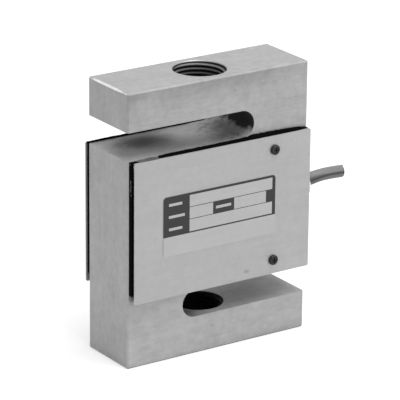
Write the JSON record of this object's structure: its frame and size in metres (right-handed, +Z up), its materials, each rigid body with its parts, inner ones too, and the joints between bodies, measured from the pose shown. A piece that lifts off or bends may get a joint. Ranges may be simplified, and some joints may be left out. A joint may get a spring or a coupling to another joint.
{
  "type": "s type load cell",
  "caption": "S-shaped steel load cell with a tapped hole in each arm, plates over its gauge window, a nameplate and a cable out of one side.",
  "frame": {"origin": "middle of the base face, on the load line and on the axis of the lower tapped hole", "axes": "+Z up along the load line, +X towards the cable, the labelled face looks along -Y"},
  "size_m": [0.1021, 0.032, 0.1016],
  "materials": {
    "block_steel": "ground and plated, satin grey",
    "cover_steel": "rolled sheet, matt grey",
    "gasket_rubber": "black, matt",
    "screw_steel": "blackened",
    "label_foil": "pale foil with dark grey printing",
    "washer_rubber": "black, matt",
    "gland_metal": "plated, satin",
    "seal_rubber": "black, matt",
    "cable_sheath": "mid grey sheath, satin",
    "core_red": "satin",
    "core_black": "satin",
    "core_green": "satin",
    "core_white": "satin",
    "gauge_foil": "amber polyimide film",
    "board_laminate": "green laminate",
    "resistor_case": "black chip",
    "bridge_wire": "enamelled copper"
  },
  "bodies": {
    "root": {"spring_body": "block_steel", "front_cover": "cover_steel", "rear_cover": "cover_steel", "front_gasket": "gasket_rubber", "rear_gasket": "gasket_rubber", "cover_screws": "screw_steel", "nameplate": "label_foil", "gland_washer": "washer_rubber", "gland_body": "gland_metal", "gland_cap": "gland_metal", "gland_seal": "seal_rubber", "cable": "cable_sheath", "lead_red": "core_red", "lead_black": "core_black", "lead_green": "core_green", "lead_white": "core_white", "gauge_upper_left": "gauge_foil", "gauge_upper_right": "gauge_foil", "gauge_lower_left": "gauge_foil", "gauge_lower_right": "gauge_foil", "terminal_board": "board_laminate", "span_resistor": "resistor_case", "balance_resistor": "resistor_case", "bridge_wires": "bridge_wire"}
  },
  "joints": []
}
